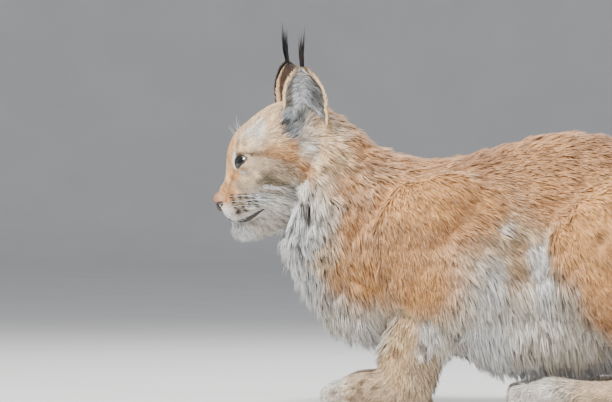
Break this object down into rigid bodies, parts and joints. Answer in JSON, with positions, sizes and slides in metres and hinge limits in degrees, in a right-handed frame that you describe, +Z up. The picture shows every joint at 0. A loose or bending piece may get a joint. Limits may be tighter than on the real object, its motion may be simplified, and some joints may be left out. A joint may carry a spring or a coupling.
{
  "type": "lynx model",
  "caption": "Life-size still model of a crouching Eurasian lynx with tufted ears, cheek ruff, long belly hair and a short hanging tail.",
  "frame": {"origin": "middle of the bounding box's underside, on the floor between the legs", "axes": "+X from the head towards the tail, +Y towards the animal's right side, +Z up"},
  "size_m": [0.8656, 0.2932, 0.5531],
  "materials": {
    "coat": "soft fur, tan above and white below, with faint brown markings",
    "nose_leather": "moist bare skin, pinkish tan with dark nostrils",
    "eye": "wet gloss, dark amber iris with a black pupil",
    "lid_skin": "bare dark skin of the eye rims and lips",
    "whisker": "white hair"
  },
  "bodies": {
    "root": {"head": "coat", "nose": "nose_leather", "eye_left": "eye", "eye_right": "eye", "ear_left": "coat", "ear_right": "coat", "neck": "coat", "torso_chest": "coat", "torso_loins": "coat", "tail": "coat", "upper_arm_left": "coat", "upper_arm_right": "coat", "forearm_left": "coat", "forearm_right": "coat", "forepaw_left": "coat", "forepaw_right": "coat", "thigh_left": "coat", "thigh_right": "coat", "shank_left": "coat", "shank_right": "coat", "hindfoot_left": "coat", "hindfoot_right": "coat"}
  },
  "joints": []
}
